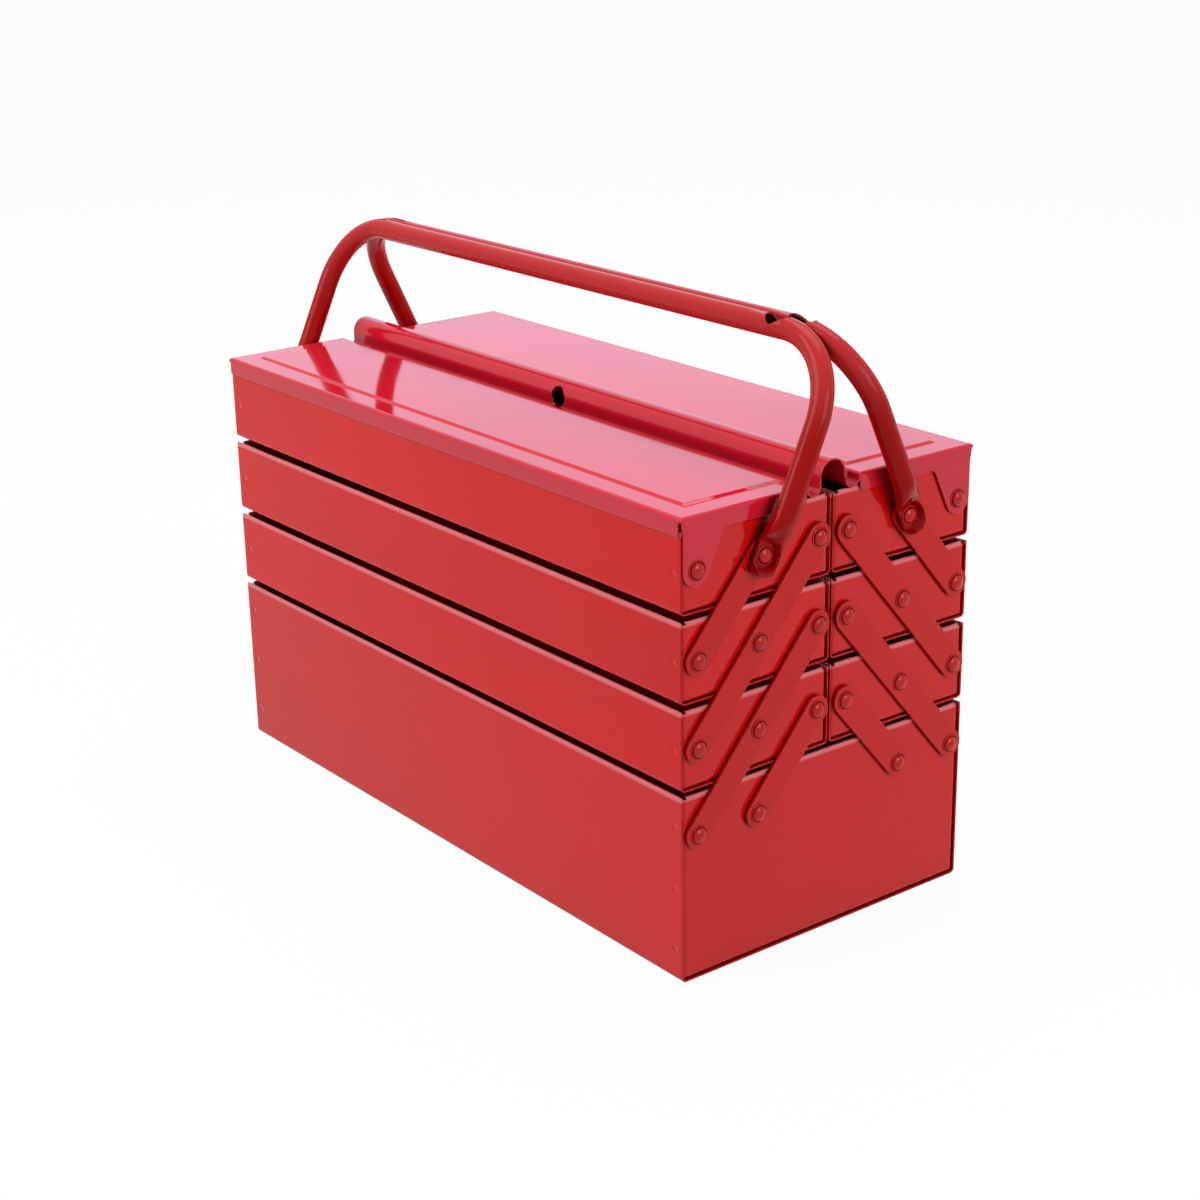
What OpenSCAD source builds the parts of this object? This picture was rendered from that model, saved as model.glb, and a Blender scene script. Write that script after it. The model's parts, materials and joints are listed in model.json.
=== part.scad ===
// Cantilever tool box in pressed and folded sheet steel: a deep base, three levels of
// swinging trays at the front and three at the back, two lids and two tubular handles.
// +X runs along the box to its right end, -Y is the front and Z = 0 is the floor.

/* [Compartments] */
// Length over the wrap sheets of the base and trays
box_length = 430; // [330:1:530]
// Width over the front and back walls of the base
box_width = 198; // [190:1:260]
// Height of the base up to its rim
base_height = 103; // [80:1:140]
// Height of each tray
tray_height = 43; // [36:0.5:45]
// Rise from one tray level to the next
level_pitch = 46.5; // [46:0.5:56]
// Open height between the base rim and the lowest trays
base_gap = 3; // [2:0.5:8]
// Open width between the front and back trays
tray_gap = 1.2; // [0.8:0.1:3]

/* [Sheet metal] */
// Thickness of the sheet
sheet = 0.8; // [0.6:0.1:1]
// Outside radius of the long bends under the base and trays
wrap_bend = 2.6; // [1.6:0.2:5]
// Outside radius of the bends round an end panel
end_bend = 2.8; // [1.4:0.2:4]
// Depth of the folded hems along the rims
hem_depth = 6; // [4:0.5:9]
// Depth of the flanges that join an end panel to its wrap sheet
end_flange = 11; // [7:0.5:16]
// Distance of an end panel's face in from the wrap sheet's edge
end_inset = 0.4; // [0.2:0.1:1]
// Cut-back of hems and flanges at the corners
corner_relief = 3; // [2:0.5:6]
// Clearance between sheets that are welded together
weld_gap = 0.05; // [0.02:0.01:0.1]

/* [Linkage] */
// Width of a link bar
link_width = 15.2; // [12:0.2:18]
// Thickness of a link bar
link_thick = 1.8; // [1.2:0.1:2.4]
// Gap between an end panel and the link bars
link_gap = 0.8; // [0.8:0.1:1.6]
// Distance of the outer rivets in from the outer wall
rivet_margin = 9.5; // [9:0.5:14]
// Distance of the inner rivets from the middle of the box
rivet_inner = 10; // [9:0.5:14]
// Height of the rivets above a tray's bottom
rivet_rise = 22; // [14:0.5:26]

/* [Rivets] */
// Diameter of a rivet's shank
shank_d = 5; // [4:0.25:6]
// Diameter of a rivet's domed head
dome_d = 8.4; // [7:0.2:10]
// Height of a rivet's domed head
dome_height = 2; // [1:0.1:2.2]
// Diameter of the flat ring round a head
ring_d = 10.8; // [9:0.2:13]
// Thickness of the flat ring
ring_thick = 0.4; // [0.3:0.1:0.6]
// Diameter of the shoulder that spaces a link bar from the wall
shoulder_d = 8.8; // [8:0.2:12]
// Thickness of the head set inside a tray
tail_thick = 1.2; // [0.8:0.1:2]
// Radial clearance of a pivot hole round its shank
pivot_fit = 0.08; // [0.04:0.01:0.1]
// End play of a link bar, ear or handle on its rivet
end_play = 0.12; // [0.1:0.01:0.2]

/* [Lids] */
// Height of a lid's rim above the rim of the top tray
lid_rise = 7; // [6.6:0.1:10]
// Depth of the flanges that hang from a lid
lid_skirt = 9.5; // [8.5:0.5:11]
// Clearance of a lid's flanges round its tray
lid_clearance = 0.3; // [0.3:0.1:0.8]
// Outside radius of a lid's bends
lid_bend = 2.2; // [1.2:0.1:2.4]
// Width of the flat margin round a lid's raised panel
lid_margin = 14; // [8:1:24]
// Height of the raised panel above the margin
panel_rise = 1.1; // [0.6:0.1:1.8]
// Width of the creased slope round the raised panel
panel_slope = 1.8; // [1.6:0.2:5]
// Radius of the round lower end of a lid's ear
ear_radius = 8.2; // [7.4:0.2:9]
// Width of an ear's root, in from the lid's front edge
ear_root = 28.5; // [26:0.5:34]
// Metal left round the lower end of an ear
ear_margin = 0.3; // [0.2:0.1:0.5]
// Radius where an ear runs into the end flange
ear_fillet = 3; // [1.5:0.5:5]
// Slit between a lid's front and end flanges
corner_slit = 1.5; // [1:0.25:3]

/* [Ridge] */
// Outside width of the round ridge where the lids meet
ridge_width = 17.2; // [15:0.2:20]
// Height of the ridge above the lids' rim
ridge_rise = 11; // [10:0.5:14]
// Offset of the ridge's middle toward the front
ridge_offset = 0.9; // [0.5:0.1:1.5]
// Width of the gutter beside the ridge
gutter_width = 8; // [7:0.5:12]
// Ledge between a gutter and the raised panel
gutter_ledge = 4; // [3:0.5:8]
// Clearance of a gutter above the tray's rim
gutter_clearance = 0.35; // [0.3:0.05:0.6]
// Depth of the ridge's rear edge below its rounded part
ridge_rear = 3; // [2:0.5:3]
// Height of the rear lid's lip above the rim
lip_rise = 3.5; // [3:0.5:5]
// Clearance between the ridge and the lip behind it
ridge_clearance = 0.35; // [0.3:0.05:0.6]
// Diameter of the padlock hole
padlock_d = 12; // [8:0.5:13]
// Height of the padlock hole's middle above the rim
padlock_rise = 1.6; // [1:0.2:3]

/* [Handles] */
// Diameter of a handle's tube
tube_d = 12; // [10:0.5:14]
// Wall of a handle's tube
tube_wall = 1.2; // [0.8:0.1:2]
// Radius of a handle's bends, to the middle of the tube
handle_bend = 42; // [28:1:60]
// Height of the grip's middle above the pivots
grip_rise = 99.5; // [95:0.5:140]
// Gap between the two grips
grip_gap = 0.4; // [0.4:0.1:2]
// Depth that a grip is pressed flat on the side that faces the other one
grip_flat = 2.6; // [0.4:0.2:3.4]
// Clearance of the tube past the ear's rivet
tube_clearance = 0.5; // [0.4:0.1:1.5]
// Width of a handle's flattened tip
tip_width = 16; // [14:0.5:18]
// Thickness of a handle's tip in the dish under its rivet
tip_thick = 2.6; // [2:0.2:3.4]
// Depth of a handle's tip over its rolled sides
tip_depth = 5; // [4:0.25:6]
// Diameter of the dish pressed round a tip's rivet
dish_d = 13.6; // [12.2:0.2:14]
// Radius of the groove pressed up the tube from the dish
groove_radius = 9; // [7:0.5:12]
// Length of the tip beyond its pivot
tip_length = 10.5; // [9:0.5:13]
// Length of the flat tip above its pivot
tip_flat = 9; // [8:0.5:12]
// Length over which the tube flattens
tip_taper = 17; // [12:1:22]
// Length of the open seam at each bend
seam_length = 16; // [15:1:17]
// Width of the open seam at each bend
seam_width = 8.4; // [8:0.2:9]
// Distance from one bend's start back to the middle of its open seam
seam_back = 5; // [4.5:0.5:5.5]
// Distance from the other bend's start on to the middle of its open seam
seam_on = 4.5; // [4:0.5:5]

/* [Hidden] */

FRONT = 0;
BACK = 1;
RIGHT = 0;
LEFT = 1;
LOWER = 1;
MIDDLE = 2;
TOP = 3;
enamel = "#c8343a";
lid_enamel = "#d4474d";
link_enamel = "#b92c31";
$fn = 48;

// Small overlap that lets a cutter pass through a face
cut = 1;
// Narrowest flat left between two round bends
bend_flat = 0.2;
half_length = box_length / 2;
half_width = box_width / 2;
rivet_step = (half_width - rivet_margin - rivet_inner) / 2;
tray_inner_y = -tray_gap / 2;
// A hem is folded flat, with a round top edge
hem_thick = 2 * sheet;
hem_round = 0.75 * sheet;

// Layers outward along X at each end
end_x = half_length - end_inset;
ear_x = half_length + lid_clearance;
ear_face = ear_x + sheet;
link_x = end_x + link_gap;
link_face = link_x + link_thick;
tip_x = link_face + lid_clearance;
tip_face = tip_x + tip_thick;
ear_rivet_top = ear_face + end_play + ring_thick + dome_height;
tube_x = ear_rivet_top + tube_clearance + tube_d / 2;

// Heights of the tray levels and of the rivet rows, where level 0 is the base
function tray_z(level) = base_height + base_gap + (level - 1) * level_pitch;
function row_z(level) = tray_z(level) + rivet_rise;
// Rivet columns of the front side: 0 is the outer one, 2 the inner one
function column_y(column) = -half_width + rivet_margin + column * rivet_step;

top_rim = tray_z(TOP) + tray_height;
lid_top = top_rim + lid_rise;
lid_front = half_width + lid_clearance + sheet;
gutter_z = top_rim + gutter_clearance + sheet;
ridge_front = -ridge_offset - ridge_width / 2;
ridge_back = -ridge_offset + ridge_width / 2;
ridge_z = lid_top + ridge_rise;
ridge_round = ridge_width / 2 - bend_flat;
lip_y = ridge_back + ridge_clearance;

// Handles lean until their grips stand side by side over the middle of the box
grip_y = -(tube_d / 2 - grip_flat + grip_gap / 2);
handle_lean = atan2(grip_y - column_y(1), grip_rise);
handle_reach = norm([grip_y - column_y(1), grip_rise]);
grip_end = tube_x - handle_bend;
leg_end = handle_reach - handle_bend;
leg_start = tip_flat + tip_taper;
// Thickness of the slices that the flattened stretch is drawn between
taper_end = 0.2;
// The groove rises from inside the dish to the outside of the tube
groove_foot = dish_d / 2 - cut;
groove_lean = atan2(tube_x + tube_d / 2 - tip_face, leg_start - groove_foot);
// Radius of the two arcs that an open seam lies between
seam_arc = (seam_length * seam_length + seam_width * seam_width) / (4 * seam_width);
// Sides of the tube's hidden bore
bore_sides = 12;
// Growth in radius that adds a step to an arc
arc_growth = 1;

// ---- Outlines --------------------------------------------------------------

function unit(v) = v / norm(v);
// Steps of an arc: finer on larger radii
function arc_steps(radius) = 3 + round(radius / arc_growth);

// Points of a rounded corner at b, between a and c; the third number of b is its radius
function corner(a, b, c) =
    let (
        u = unit([a.x - b.x, a.y - b.y]),
        v = unit([c.x - b.x, c.y - b.y]),
        radius = b[2],
        half = acos(u * v) / 2,
        centre = [b.x, b.y] + unit(u + v) * radius / sin(half),
        from = [b.x, b.y] + u * radius / tan(half) - centre,
        turn = u.x * v.y - u.y * v.x > 0 ? -1 : 1,
        sweep = turn * (180 - 2 * half),
        steps = arc_steps(radius)
    )
    [for (i = [0:steps])
        let (angle = sweep * i / steps)
        centre + [from.x * cos(angle) - from.y * sin(angle), from.x * sin(angle) + from.y * cos(angle)]];

// A line through [y, z, radius] points with its corners rounded
function rounded_line(points) = [
    for (i = [0:len(points) - 1])
        for (point = (i == 0 || i == len(points) - 1 || points[i][2] == 0)
            ? [[points[i].x, points[i].y]]
            : corner(points[i - 1], points[i], points[i + 1]))
        point
];

// The line moved sideways to its left by a distance
function beside(line, distance) = [
    for (i = [0:len(line) - 1])
        let (
            back = i == 0 ? line[0] : line[i - 1],
            next = i == len(line) - 1 ? line[i] : line[i + 1],
            before = unit(i == 0 ? next - line[i] : line[i] - back),
            after = unit(i == len(line) - 1 ? line[i] - back : next - line[i]),
            side = [-before.y - after.y, before.x + after.x],
            stretch = 1 + before * after
        )
        line[i] + side * distance / stretch
];

// Outline of folded sheet whose outer face follows the points
function folded(points, thickness) =
    let (line = rounded_line(points), inner = beside(line, thickness))
    concat(line, [for (i = [len(inner) - 1:-1:0]) inner[i]]);

// A closed outline with rounded corners
function closed(points) = [
    for (i = [0:len(points) - 1])
        let (
            before = points[(i + len(points) - 1) % len(points)],
            after = points[(i + 1) % len(points)]
        )
        for (point = points[i][2] == 0
            ? [[points[i].x, points[i].y]]
            : corner(before, points[i], after))
        point
];

// ---- Placing ---------------------------------------------------------------

// Extrudes a [y, z] outline along X
module along_x(from, to) {
    translate([from, 0, 0])
        rotate([90, 0, 90])
            linear_extrude(to - from)
                children();
}

// Extrudes an [x, z] outline along Y
module along_y(from, to) {
    translate([0, to, 0])
        rotate([90, 0, 0])
            linear_extrude(to - from)
                children();
}

// Turns the front side into the back side
module on_side(side) {
    mirror([0, side == BACK ? 1 : 0, 0])
        children();
}

// Turns the right end into the left end
module on_end(end) {
    mirror([end == LEFT ? 1 : 0, 0, 0])
        children();
}

// A hole along X for a pivot or a rivet
module x_hole(y, z, radius, from, to) {
    translate([from, y, z])
        rotate([0, 90, 0])
            cylinder(h = to - from, r = radius);
}

// ---- Compartments ----------------------------------------------------------

// Front wall, bottom and rear wall in one folded sheet, with hems along both rims that stop
// short of the end panels
module wrap(y0, y1, z0, height) {
    rim = z0 + height;
    hem_foot = rim - hem_depth;
    floor_z = z0 + sheet;
    outline = [
        [y0 + hem_thick, hem_foot, 0],
        [y0 + hem_thick, rim, hem_round],
        [y0, rim, hem_round],
        [y0, z0, wrap_bend],
        [y1, z0, wrap_bend],
        [y1, rim, hem_round],
        [y1 - hem_thick, rim, hem_round],
        [y1 - hem_thick, hem_foot, 0],
        [y1 - sheet, hem_foot, 0],
        [y1 - sheet, floor_z, wrap_bend - sheet],
        [y0 + sheet, floor_z, wrap_bend - sheet],
        [y0 + sheet, hem_foot, 0]
    ];
    difference() {
        along_x(-half_length, half_length)
            polygon(closed(outline));
        for (end = [RIGHT, LEFT])
            on_end(end)
                for (y = [y0 + sheet, y1 - sheet - hem_thick])
                    translate([end_x - end_bend - weld_gap, y, hem_foot - cut])
                        cube([end_flange, hem_thick, hem_depth + 2 * cut]);
    }
}

// Solid inside an end panel's bends, inset by a distance; the panel is the gap between two.
// Its lower corners follow the bends of the wrap sheet
module end_block(y0, y1, z0, z1, inset) {
    radius = end_bend - inset;
    fold = max(0, wrap_bend - sheet - weld_gap - inset);
    back = end_x - end_flange - inset;
    intersection() {
        translate([0, 0, z0 + inset])
            linear_extrude(z1 - z0 - inset)
                polygon(closed([
                    [back, y0 + inset, 0],
                    [end_x - inset, y0 + inset, radius],
                    [end_x - inset, y1 - inset, radius],
                    [back, y1 - inset, 0]
                ]));
        along_y(y0, y1)
            polygon(closed([
                [back, z0 + inset, 0],
                [end_x - inset, z0 + inset, radius],
                [end_x - inset, z1, 0],
                [back, z1, 0]
            ]));
        along_x(back, end_x)
            polygon(closed([
                [y0 + inset, z1, 0],
                [y0 + inset, z0 + inset, fold],
                [y1 - inset, z0 + inset, fold],
                [y1 - inset, z1, 0]
            ]));
    }
}

// Right end panel with flanges on three sides, a hem on top and holes for its rivets
module end_panel(y0, y1, z0, height, columns, row) {
    seat = sheet + weld_gap;
    left = y0 + seat;
    right = y1 - seat;
    rim = z0 + height;
    flange_top = rim - hem_depth - corner_relief / 2;
    face_top = rim - hem_thick;
    difference() {
        union() {
            difference() {
                end_block(left, right, z0 + seat, face_top, 0);
                end_block(left, right, z0 + seat, face_top + cut, sheet);
                translate([end_x - end_flange - cut, left - cut, flange_top])
                    cube([end_flange + cut - end_bend, right - left + 2 * cut, height]);
            }
            along_y(left + corner_relief, right - corner_relief)
                polygon(closed([
                    [end_x, face_top - sheet, 0],
                    [end_x, rim, hem_round],
                    [end_x - hem_thick, rim, hem_round],
                    [end_x - hem_thick, rim - hem_depth, 0],
                    [end_x - sheet, rim - hem_depth, 0],
                    [end_x - sheet, face_top - sheet, 0]
                ]));
        }
        for (y = columns)
            x_hole(y, row, shank_d / 2 + weld_gap, end_x - sheet - cut, end_x + cut);
    }
}

module base_pan() {
    color(enamel)
        wrap(-half_width, half_width, 0, base_height);
}

module base_end(end) {
    columns = [for (s = [-1, 1], c = [0, 1]) s * column_y(c)];
    color(enamel)
        on_end(end)
            end_panel(-half_width, half_width, 0, base_height, columns, row_z(0));
}

module tray_pan(side, level) {
    color(enamel)
        on_side(side)
            wrap(-half_width, tray_inner_y, tray_z(level), tray_height);
}

module tray_end(side, level, end) {
    columns = [for (c = [0:2]) column_y(c)];
    color(enamel)
        on_side(side)
            on_end(end)
                end_panel(-half_width, tray_inner_y, tray_z(level), tray_height, columns, row_z(level));
}

// ---- Rivets ----------------------------------------------------------------

// Shouldered rivet on the X axis, from inside the wall out to a head beyond held_face
module rivet(held_x, held_face) {
    base = held_face + end_play;
    crown = base + ring_thick;
    inside = end_x - sheet - weld_gap;
    steps = 8;
    dome = [for (i = [0:steps])
        [dome_d / 2 * cos(90 * i / steps), crown + dome_height * sin(90 * i / steps)]];
    rotate([0, 90, 0])
        rotate_extrude()
            polygon(concat([
                [0, inside - tail_thick],
                [dome_d / 2, inside - tail_thick],
                [dome_d / 2, inside],
                [shank_d / 2, inside],
                [shank_d / 2, end_x + weld_gap],
                [shoulder_d / 2, end_x + weld_gap],
                [shoulder_d / 2, held_x - end_play],
                [shank_d / 2, held_x - end_play],
                [shank_d / 2, base],
                [ring_d / 2, base],
                [ring_d / 2, crown - ring_thick / 2],
                [ring_d / 2 - ring_thick / 2, crown]
            ], dome));
}

// One rivet at each end of the box, at a column and row of the front side
module rivet_pair(column, level, held_x, held_face) {
    for (end = [RIGHT, LEFT])
        on_end(end)
            translate([0, column_y(column), row_z(level)])
                rivet(held_x, held_face);
}

module base_rivets() {
    color(link_enamel)
        for (side = [FRONT, BACK], column = [0, 1])
            on_side(side)
                rivet_pair(column, 0, link_x, link_face);
}

// Rivets of a lower or middle tray: each holds one link bar
module tray_rivets(side, level) {
    color(link_enamel)
        on_side(side)
            for (column = [0:2])
                rivet_pair(column, level, link_x, link_face);
}

// Rivets of a top tray: the lid's ear, the handle with the short bar, and the long bar
module top_rivets(side) {
    color(link_enamel)
        on_side(side) {
            rivet_pair(0, TOP, ear_x, ear_face);
            rivet_pair(1, TOP, link_x, tip_face);
            rivet_pair(2, TOP, link_x, link_face);
        }
}

// ---- Link bars -------------------------------------------------------------

// Flat bar through count rivets, rising inward from its lowest rivet
module link_bar(column, level, count) {
    rise = atan2(level_pitch, rivet_step);
    pitch = norm([rivet_step, level_pitch]);
    radius = link_width / 2;
    length = (count - 1) * pitch;
    translate([link_x, column_y(column), row_z(level)])
        rotate([rise, 0, 0])
            difference() {
                rotate([90, 0, 90])
                    linear_extrude(link_thick)
                        union() {
                            translate([0, -radius])
                                square([length, link_width]);
                            circle(r = radius);
                            translate([length, 0])
                                circle(r = radius);
                        }
                for (i = [0:count - 1])
                    x_hole(i * pitch, 0, shank_d / 2 + pivot_fit, -cut, link_thick + cut);
            }
}

// A link bar of either side, at either end
module link(side, end, column, level, count) {
    color(link_enamel)
        on_side(side)
            on_end(end)
                link_bar(column, level, count);
}

// ---- Lids ------------------------------------------------------------------

// Creased frustum under a lid's raised panel, lowered by a distance
module panel_block(lowered) {
    x1 = ear_face - lid_margin;
    y0 = -lid_front + lid_margin;
    y1 = ridge_front - gutter_width - gutter_ledge;
    floor_z = lid_top - lid_rise / 2;
    foot = lid_top - lowered;
    peak = foot + panel_rise;
    intersection() {
        along_x(-x1, x1)
            polygon([[y0, floor_z], [y1, floor_z], [y1, foot], [y1 - panel_slope, peak],
                [y0 + panel_slope, peak], [y0, foot]]);
        along_y(y0, y1)
            polygon([[-x1, floor_z], [x1, floor_z], [x1, foot], [x1 - panel_slope, peak],
                [panel_slope - x1, peak], [-x1, foot]]);
    }
}

// Flange at a lid's end, with the ear that hangs from it to the pivot rivet
module lid_end() {
    pivot_y = column_y(0);
    pivot_z = row_z(TOP);
    skirt = lid_top - lid_skirt;
    inner_y = ridge_front - gutter_width - sheet;
    foot = pivot_z - ear_radius - ear_margin;
    outline = [
        [-lid_front + corner_slit / 2, lid_top - sheet / 2, 0],
        [inner_y, lid_top - sheet / 2, 0],
        [inner_y, skirt, lid_bend],
        [-lid_front + ear_root, skirt, ear_fillet],
        [pivot_y + 0.6 * ear_radius, foot, ear_radius],
        [pivot_y - ear_radius - ear_margin, foot, ear_radius],
        [pivot_y - ear_radius - ear_margin, skirt, 0]
    ];
    difference() {
        along_x(ear_x, ear_face)
            polygon(closed(outline));
        x_hole(pivot_y, pivot_z, shank_d / 2 + pivot_fit, ear_x - cut, ear_face + cut);
    }
}

// Cutter that rounds a lid's end edge, from the front corner to the gutter
module end_edge_cutter() {
    x = ear_face;
    z = lid_top;
    radius = 2 * sheet;
    reach = radius + cut;
    along_y(-lid_front - cut, ridge_front - gutter_width)
        polygon(concat(
            [for (point = corner([x - reach, z], [x, z, radius], [x, z - reach])) point],
            [[x + cut, z - radius], [x + cut, z + cut], [x - radius, z + cut]]
        ));
}

// Sheet of a lid whose cross-section ends in the given points beside the ridge
module lid_sheet(ridge_points, gutter_inner) {
    depth = lid_top - gutter_z;
    gutter_bend = min((gutter_width - bend_flat) / 2, 2 / 3 * depth);
    shoulder = depth - gutter_bend - bend_flat;
    gutter_outer = ridge_front - gutter_width;
    outline = concat([
        [-lid_front, lid_top - lid_skirt, 0],
        [-lid_front, lid_top, lid_bend],
        [gutter_outer, lid_top, shoulder],
        [gutter_outer, gutter_z, gutter_bend],
        [gutter_inner, gutter_z, gutter_bend]
    ], ridge_points);
    difference() {
        union() {
            along_x(-ear_face, ear_face)
                polygon(folded(outline, -sheet));
            panel_block(0);
            for (end = [RIGHT, LEFT])
                on_end(end)
                    lid_end();
        }
        panel_block(sheet);
        for (end = [RIGHT, LEFT])
            on_end(end) {
                end_edge_cutter();
                translate([half_length - corner_slit / 2, -lid_front - cut, lid_top - lid_skirt - cut])
                    cube([2 * corner_slit, cut + sheet + lid_clearance / 2, lid_skirt + cut - lid_bend]);
            }
    }
}

// Hole for a padlock's shackle through the ridge
module padlock_hole() {
    translate([0, ridge_front - cut, lid_top + padlock_rise])
        rotate([-90, 0, 0])
            cylinder(h = ridge_width + gutter_width, d = padlock_d);
}

module front_lid() {
    rear_edge = ridge_z - ridge_width / 2 - ridge_rear;
    color(lid_enamel)
        difference() {
            lid_sheet([
                [ridge_front, ridge_z, ridge_round],
                [ridge_back, ridge_z, ridge_round],
                [ridge_back, rear_edge, 0]
            ], ridge_front);
            padlock_hole();
        }
}

// The rear lid's gutter ends in a lip that stands behind the ridge
module back_lid() {
    color(lid_enamel)
        on_side(BACK)
            difference() {
                lid_sheet([[-lip_y - sheet, lid_top + lip_rise, 0]], -lip_y - sheet);
                on_side(BACK)
                    padlock_hole();
            }
}

// ---- Handles ---------------------------------------------------------------

// The run of the tube from leg to leg as a rod of some diameter
module tube_run(diameter, sides) {
    for (end = [RIGHT, LEFT])
        on_end(end) {
            translate([grip_end, 0, leg_end])
                rotate([90, 0, 0])
                    rotate_extrude(angle = 90)
                        translate([handle_bend, 0])
                            circle(d = diameter, $fn = sides);
            translate([tube_x, 0, leg_start])
                cylinder(h = leg_end - leg_start, d = diameter, $fn = sides);
        }
    translate([-grip_end, 0, handle_reach])
        rotate([0, 90, 0])
            cylinder(h = 2 * grip_end, d = diameter, $fn = sides);
}

// The tube flattened into a tip, dished round its pivot hole and grooved up to the round tube
module handle_tip() {
    tip_back = tip_x + tip_depth;
    difference() {
        union() {
            hull() {
                translate([tube_x, 0, leg_start - taper_end])
                    cylinder(h = taper_end, d = tube_d - taper_end, $fn = 32);
                translate([tip_x, -tip_width / 2, tip_flat])
                    cube([tip_depth, tip_width, taper_end]);
            }
            along_x(tip_x, tip_back)
                polygon(closed([
                    [-tip_width / 2, tip_flat, 0],
                    [-tip_width / 2, -tip_length, tip_width / 3],
                    [tip_width / 2, -tip_length, tip_width / 3],
                    [tip_width / 2, tip_flat, 0]
                ]));
        }
        x_hole(0, 0, shank_d / 2 + pivot_fit, tip_x - cut, tip_face + cut);
        x_hole(0, 0, dish_d / 2, tip_face, tip_back + cut);
        translate([tip_face, 0, groove_foot])
            rotate([0, groove_lean, 0])
                translate([groove_radius, 0, 0])
                    cylinder(h = 2 * tip_taper, r = groove_radius);
    }
}

// The rolled seam gapes at each bend, nearer the grip at one end than at the other
module seam_opening(shift) {
    translate([grip_end + shift, 0, handle_reach])
        rotate([handle_lean, 0, 0])
            intersection_for (way = [-1, 1])
                translate([0, way * (seam_arc - seam_width / 2), cut])
                    cylinder(h = tube_d, r = seam_arc);
}

// Moves a handle from its own pivot to the box, leaning over it
module leaned() {
    translate([0, column_y(1), row_z(TOP)])
        rotate([-handle_lean, 0, 0])
            children();
}

// All that lies behind a plane across the grips
module behind(y) {
    translate([-tube_x - tube_d, y, row_z(TOP)])
        cube([2 * (tube_x + tube_d), tube_d, handle_reach + tube_d]);
}

module handle(side) {
    color(enamel)
        on_side(side) {
            difference() {
                leaned()
                    tube_run(tube_d, $fn);
                behind(-grip_gap / 2);
                difference() {
                    leaned()
                        tube_run(tube_d - 2 * tube_wall, bore_sides);
                    behind(-grip_gap / 2 - tube_wall);
                }
                leaned()
                    for (end = [RIGHT, LEFT])
                        on_end(end)
                            seam_opening(end == side ? -seam_back : seam_on);
            }
            leaned()
                for (end = [RIGHT, LEFT])
                    on_end(end)
                        handle_tip();
        }
}

// ---- Assembly --------------------------------------------------------------

base_pan();
base_end(RIGHT);  // base_end_right
base_end(LEFT);  // base_end_left
base_rivets();
tray_pan(FRONT, LOWER);  // front_lower_pan
tray_end(FRONT, LOWER, RIGHT);  // front_lower_end_right
tray_end(FRONT, LOWER, LEFT);  // front_lower_end_left
tray_rivets(FRONT, LOWER);  // front_lower_rivets
tray_pan(FRONT, MIDDLE);  // front_middle_pan
tray_end(FRONT, MIDDLE, RIGHT);  // front_middle_end_right
tray_end(FRONT, MIDDLE, LEFT);  // front_middle_end_left
tray_rivets(FRONT, MIDDLE);  // front_middle_rivets
tray_pan(FRONT, TOP);  // front_top_pan
tray_end(FRONT, TOP, RIGHT);  // front_top_end_right
tray_end(FRONT, TOP, LEFT);  // front_top_end_left
top_rivets(FRONT);  // front_top_rivets
tray_pan(BACK, LOWER);  // back_lower_pan
tray_end(BACK, LOWER, RIGHT);  // back_lower_end_right
tray_end(BACK, LOWER, LEFT);  // back_lower_end_left
tray_rivets(BACK, LOWER);  // back_lower_rivets
tray_pan(BACK, MIDDLE);  // back_middle_pan
tray_end(BACK, MIDDLE, RIGHT);  // back_middle_end_right
tray_end(BACK, MIDDLE, LEFT);  // back_middle_end_left
tray_rivets(BACK, MIDDLE);  // back_middle_rivets
tray_pan(BACK, TOP);  // back_top_pan
tray_end(BACK, TOP, RIGHT);  // back_top_end_right
tray_end(BACK, TOP, LEFT);  // back_top_end_left
top_rivets(BACK);  // back_top_rivets
link(FRONT, RIGHT, 1, 0, 2);  // front_base_link_right
link(FRONT, LEFT, 1, 0, 2);  // front_base_link_left
link(FRONT, RIGHT, 0, 0, 3);  // front_lower_link_right
link(FRONT, LEFT, 0, 0, 3);  // front_lower_link_left
link(FRONT, RIGHT, 0, LOWER, 3);  // front_upper_link_right
link(FRONT, LEFT, 0, LOWER, 3);  // front_upper_link_left
link(FRONT, RIGHT, 0, MIDDLE, 2);  // front_top_link_right
link(FRONT, LEFT, 0, MIDDLE, 2);  // front_top_link_left
link(BACK, RIGHT, 1, 0, 2);  // back_base_link_right
link(BACK, LEFT, 1, 0, 2);  // back_base_link_left
link(BACK, RIGHT, 0, 0, 3);  // back_lower_link_right
link(BACK, LEFT, 0, 0, 3);  // back_lower_link_left
link(BACK, RIGHT, 0, LOWER, 3);  // back_upper_link_right
link(BACK, LEFT, 0, LOWER, 3);  // back_upper_link_left
link(BACK, RIGHT, 0, MIDDLE, 2);  // back_top_link_right
link(BACK, LEFT, 0, MIDDLE, 2);  // back_top_link_left
front_lid();
back_lid();
handle(FRONT);  // front_handle
handle(BACK);  // back_handle
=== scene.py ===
"""Dressed model of a cantilever tool box: gloss enamel, domed rivets and bent tube handles."""

import json
import math

import bmesh
import bpy
from mathutils import Matrix, Vector


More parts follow.
